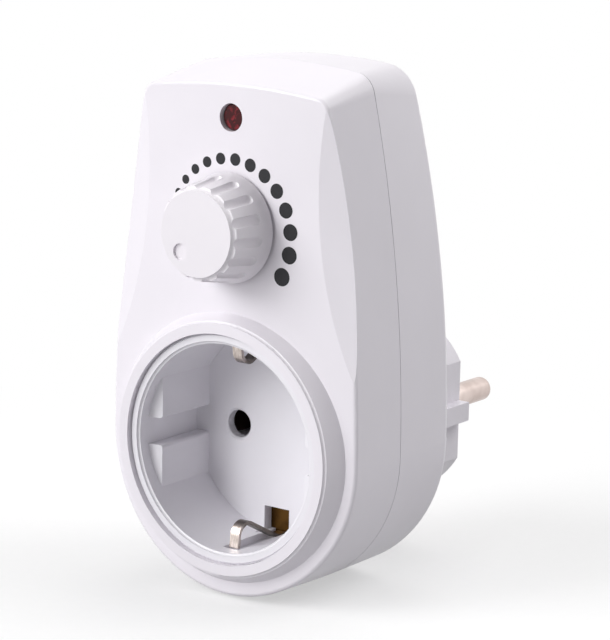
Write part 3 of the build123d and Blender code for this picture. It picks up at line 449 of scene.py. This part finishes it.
class DIMMER_OT_circuit(bpy.types.Operator):
    """Finish the board and the components sealed in the case"""
    bl_idname = "dimmer.circuit"
    bl_label = "Circuit pieces"

    def execute(self, context):
        # Phenolic paper laminate, sawn and left bare: brown with fine paper mottle.
        give(coated("phenolic_paper_board", tones("845C31", "9A743F"), grain_mm=0.6, rough=0.5, ior=1.55),
             "circuit_board")
        # Phenolic moulding powder, pressed: near-black with a dull, slightly cloudy skin.
        give(coated("phenolic_black", tones("18181A", "262629"), grain_mm=0.5, rough=0.5, ior=1.6),
             "pot_case")
        # Carbon resin screened on the track: matte black with fine grains.
        give(coated("carbon_track", tones("121212", "1E1E1E"), grain_mm=0.2, rough=0.65, ior=1.6),
             "pot_track")
        # Acetal rod, moulded: waxy ivory white.
        give(coated("acetal_ivory", tones("DAD7CE", "E4E1D9"), grain_mm=0.8, rough=0.42, ior=1.48,
                    strength=0.1), "pot_shaft")
        # Epoxy moulding compound: charcoal with a fine sandy texture.
        give(coated("epoxy_charcoal", tones("17181A", "232527"), grain_mm=0.25, rough=0.6, ior=1.55),
             "triac")
        # Sintered ferrite: dark grey ceramic with a rough, powdery grain.
        give(coated("sintered_ferrite", tones("37383B", "4A4B4F"), grain_mm=0.3, rough=0.72, ior=2.3,
                    strength=0.35), "choke_core")
        # Enamelled copper wire laid side by side: glossy red-brown with a ripple as wide as the wire.
        give(coated("enamelled_copper", tones("86391A", "A5512A"), grain_mm=0.7, rough=0.22, ior=1.6,
                    strength=0.5, height_mm=0.1), "choke_winding")
        # Flame-retardant polypropylene box: warm yellow, matte from a spark-eroded tool.
        give(coated("polypropylene_yellow", tones("C4921C", "D4A233"), grain_mm=0.5, rough=0.5, ior=1.49),
             "film_capacitor")
        # Extruded PVC sleeves: smooth and slightly waxy, with faint ripples.
        give(coated("pvc_sleeve_brown", tones("492A18", "5A3521"), grain_mm=1.0, rough=0.42, ior=1.54,
                    strength=0.1), "live_lead", "load_lead")
        give(coated("pvc_sleeve_blue", tones("1F438A", "2B549C"), grain_mm=1.0, rough=0.42, ior=1.54,
                    strength=0.1), "neutral_lead")
        # Glass diode body with a paint band's tint: glossy blue.
        give(coated("sealed_glass_blue", tones("2A4C8A", "375A9C"), grain_mm=0.7, rough=0.15, ior=1.5,
                    strength=0.05), "diac")
        # Lacquered film resistor: tan with an uneven dipped skin.
        give(coated("dipped_lacquer_tan", tones("B3945F", "C6AA7C"), grain_mm=0.9, rough=0.35, ior=1.5,
                    strength=0.3, height_mm=0.06), "resistors")
        # Dipped ceramic disc: green lacquer with small sags.
        give(coated("dipped_lacquer_green", tones("27653A", "33784A"), grain_mm=0.9, rough=0.3, ior=1.5,
                    strength=0.3, height_mm=0.06), "timing_capacitor")
        # Nylon preset: blue, matte, slightly mottled by the fibre in it.
        give(coated("nylon_blue", tones("24508E", "305E9C"), grain_mm=0.4, rough=0.48, ior=1.53),
             "minimum_trimmer")
        return {"FINISHED"}


class DIMMER_OT_webs(bpy.types.Operator):
    """Carry the well's floor on to the two earth slots"""
    bl_idname = "dimmer.webs"
    bl_label = "Floor webs"

    def execute(self, context):
        webs = context.scene.dimmer_webs
        width = 2 * webs.half_width
        span = webs.slot_reach - webs.inner_reach
        for name, end in (("floor_web_upper", 1), ("floor_web_lower", -1)):
            height = end * (webs.inner_reach + span / 2)
            # The floor's own face, found beside the strip that the web fills.
            floor_depth = depth_at("socket_insert", width, height)
            middle = (0, floor_depth + webs.thickness / 2, height)
            slab = bmesh.new()
            bmesh.ops.create_cube(slab, size=1.0)
            bmesh.ops.scale(slab, vec=(width, webs.thickness, span), verts=slab.verts)
            bmesh.ops.translate(slab, vec=middle, verts=slab.verts)
            mesh = bpy.data.meshes.new(name)
            slab.to_mesh(mesh)
            slab.free()
            mesh.materials.append(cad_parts["socket_insert"].material_slots[0].material)
            add_white_piece(context.scene, name, mesh)
        return {"FINISHED"}


def dot_row(dots):
    """Clock angle and diameter of each dot, from the largest on."""
    angle, pitch, drop, diameter = dots.first_angle, dots.first_pitch, dots.pitch_drop, dots.largest
    for _ in range(dots.count):
        yield angle, diameter
        angle -= pitch
        pitch -= drop
        drop -= dots.drop_ease
        diameter -= dots.shrink


class DIMMER_OT_dots(bpy.types.Operator):
    """Print the arc of growing dots on the front face"""
    bl_idname = "dimmer.dots"
    bl_label = "Dial dots"

    def execute(self, context):
        dots = context.scene.dimmer_dots
        finish = context.scene.dimmer_finish
        verts, faces = [], []
        for angle, diameter in dot_row(dots):
            cx = dots.arc_radius * math.sin(angle)
            cz = dots.centre_height + dots.arc_radius * math.cos(angle)
            first = len(verts)
            verts.append((cx, depth_at("front_cover", cx, cz) - dots.print_height, cz))
            for k in range(dots.sides):
                turn = 2 * math.pi * k / dots.sides
                x = cx + diameter / 2 * math.cos(turn)
                z = cz + diameter / 2 * math.sin(turn)
                verts.append((x, depth_at("front_cover", x, z) - dots.print_height, z))
                faces.append((first, first + 1 + (k + 1) % dots.sides, first + 1 + k))
        mesh = bpy.data.meshes.new("dial_dots")
        mesh.from_pydata(verts, [], faces)
        mesh.update()
        # Pad-printed two-part ink: thin, flat, near-black grey with a dull, faintly mottled face.
        mesh.materials.append(coated("pad_printing_ink", (finish.ink_shade, finish.ink_colour),
                                     grain_mm=0.3, rough=0.6, ior=1.4, strength=0.1, height_mm=0.01))
        add_white_piece(context.scene, "dial_dots", mesh)
        return {"FINISHED"}


def camera_axes(azimuth, elevation, roll):
    """Right, up and back directions of the camera."""
    back = Vector((math.sin(azimuth) * math.cos(elevation), -math.cos(azimuth) * math.cos(elevation),
                   math.sin(elevation)))
    right = Vector((math.cos(azimuth), math.sin(azimuth), 0))
    up = back.cross(right)
    turned_right = math.cos(roll) * right + math.sin(roll) * up
    turned_up = -math.sin(roll) * right + math.cos(roll) * up
    return turned_right, turned_up, back


def softbox(scene, name, place, size, power):
    """Large square lamp aimed at the dimmer."""
    lamp = bpy.data.lights.new(name, "AREA")
    lamp.shape = "SQUARE"
    lamp.size = size
    lamp.energy = power
    holder = bpy.data.objects.new(name, lamp)
    scene.collection.objects.link(holder)
    holder.location = place
    holder.rotation_euler = (AIM - Vector(place)).to_track_quat("-Z", "Y").to_euler()


def background_rays(tree):
    """1 for the rays that show the background: straight from the camera, or by gloss or through glass."""
    path = node(tree, "ShaderNodeLightPath").outputs
    mirrored = node(tree, "ShaderNodeMath", {"operation": "MAXIMUM"},
                    {0: path["Is Glossy Ray"], 1: path["Is Transmission Ray"]})
    return node(tree, "ShaderNodeMath", {"operation": "MAXIMUM"},
                {0: path["Is Camera Ray"], 1: mirrored.outputs[0]}).outputs[0]


def white_card(stage):
    """Matte white card: it keeps the dimmer's soft shadow near by and shows plain white farther off.

    The camera, gloss and glass see the card white; the light that it throws back on the dimmer is that
    of a grey one.
    """
    material, tree, shader = fresh("matte_card_white", Roughness=0.9)
    fibre = grains(tree, size_mm=2.0)
    paper = node(tree, "ShaderNodeValToRGB", links={"Fac": fibre},
                 stops=((0.3, stage.card_shade), (0.7, stage.card_colour)))
    shown = background_rays(tree)
    bounce = node(tree, "ShaderNodeMix", {"data_type": "RGBA"},
                  {"Factor": shown, "B": paper.outputs["Color"]}, A=stage.bounce_colour)
    tree.links.new(bounce.outputs["Result"], shader.inputs["Base Color"])
    place = node(tree, "ShaderNodeTexCoord").outputs["Object"]
    away = node(tree, "ShaderNodeVectorMath", {"operation": "LENGTH"}, {"Vector": place})
    zone = node(tree, "ShaderNodeMapRange", {"interpolation_type": "SMOOTHSTEP"},
                {"Value": away.outputs["Value"]}, From_Min=stage.shade_near, From_Max=stage.shade_far,
                To_Min=stage.shade_lift)
    share = node(tree, "ShaderNodeMath", {"operation": "MULTIPLY"},
                 {0: shown, 1: zone.outputs["Result"]})
    glow = node(tree, "ShaderNodeEmission", Color=WHITE, Strength=1.0)
    mixed = node(tree, "ShaderNodeMixShader",
                 links={0: share.outputs[0], 1: shader.outputs[0], 2: glow.outputs[0]})
    tree.links.new(mixed.outputs[0], tree.nodes["Material Output"].inputs["Surface"])
    return material


def soft_room(scene, colour):
    """Pale room light all round, which the camera, gloss and glass see as plain white."""
    world = bpy.data.worlds.new("soft_white_room")
    scene.world = world
    world.use_nodes = True
    tree = world.node_tree
    tree.nodes.clear()
    room = node(tree, "ShaderNodeBackground", Color=colour, Strength=ROOM_STRENGTH)
    white = node(tree, "ShaderNodeBackground", Color=WHITE, Strength=1.0)
    mixed = node(tree, "ShaderNodeMixShader",
                 links={0: background_rays(tree), 1: room.outputs[0], 2: white.outputs[0]})
    node(tree, "ShaderNodeOutputWorld", links={"Surface": mixed.outputs[0]})


class DIMMER_OT_stage(bpy.types.Operator):
    """Set the pale floor, the soft light and the camera"""
    bl_idname = "dimmer.stage"
    bl_label = "Stage"

    def execute(self, context):
        scene = context.scene
        stage = scene.dimmer_stage
        half = stage.floor_half
        mesh = bpy.data.meshes.new("floor")
        mesh.from_pydata([(-half, -half, 0), (half, -half, 0), (half, half, 0), (-half, half, 0)], [],
                         [(0, 1, 2, 3)])
        mesh.materials.append(white_card(stage))
        floor = bpy.data.objects.new("floor", mesh)
        floor.location.z = rest_low[2] - stage.floor_drop
        scene.collection.objects.link(floor)
        soft_room(scene, stage.room_colour)
        for lamp in LAMPS:
            softbox(scene, *lamp)
        scene.view_settings.view_transform = "Standard"
        lens = bpy.data.cameras.new("photo_camera")
        lens.sensor_fit = "VERTICAL"
        lens.sensor_height = SENSOR_HEIGHT
        lens.lens = stage.focus_pixels * SENSOR_HEIGHT / PHOTO_HEIGHT
        lens.clip_start = 10 * MM
        eye = bpy.data.objects.new("photo_camera", lens)
        scene.collection.objects.link(eye)
        right, up, back = camera_axes(stage.azimuth, stage.elevation, stage.roll)
        turn = Matrix((right, up, back)).transposed().to_4x4()
        eye.matrix_world = Matrix.Translation(AIM + back * stage.distance) @ turn
        scene.camera = eye
        return {"FINISHED"}


class DIMMER_PT_panel(bpy.types.Panel):
    """Sizes and colours of the dimmer, and the buttons that dress it, in order"""
    bl_label = "Plug-in dimmer"
    bl_idname = "DIMMER_PT_panel"
    bl_space_type = "VIEW_3D"
    bl_region_type = "UI"
    bl_category = "Dimmer"

    def draw(self, context):
        for name, group in GROUPS.items():
            box = self.layout.box()
            for key in group.__annotations__:
                box.prop(getattr(context.scene, name), key)
        for step in STEPS:
            self.layout.operator(step.bl_idname)


GROUPS = {"dimmer_finish": DIMMER_PG_finish, "dimmer_webs": DIMMER_PG_webs, "dimmer_dots": DIMMER_PG_dots,
          "dimmer_stage": DIMMER_PG_stage}
STEPS = (DIMMER_OT_mouldings, DIMMER_OT_metal, DIMMER_OT_pilot, DIMMER_OT_circuit, DIMMER_OT_webs,
         DIMMER_OT_dots, DIMMER_OT_stage)
CLASSES = (*GROUPS.values(), *STEPS, DIMMER_PT_panel)


def register():
    """Register the classes and hang the property groups on the scene."""
    for cls in CLASSES:
        bpy.utils.register_class(cls)
    for name, group in GROUPS.items():
        setattr(bpy.types.Scene, name, bpy.props.PointerProperty(type=group))


def unregister():
    """Undo register."""
    for name in GROUPS:
        delattr(bpy.types.Scene, name)
    for cls in reversed(CLASSES):
        bpy.utils.unregister_class(cls)


def main():
    """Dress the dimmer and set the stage."""
    register()
    bpy.ops.dimmer.mouldings()
    bpy.ops.dimmer.metal()
    bpy.ops.dimmer.pilot()
    bpy.ops.dimmer.circuit()
    bpy.ops.dimmer.webs()
    bpy.ops.dimmer.dots()
    bpy.ops.dimmer.stage()


if __name__ == "__main__":
    main()
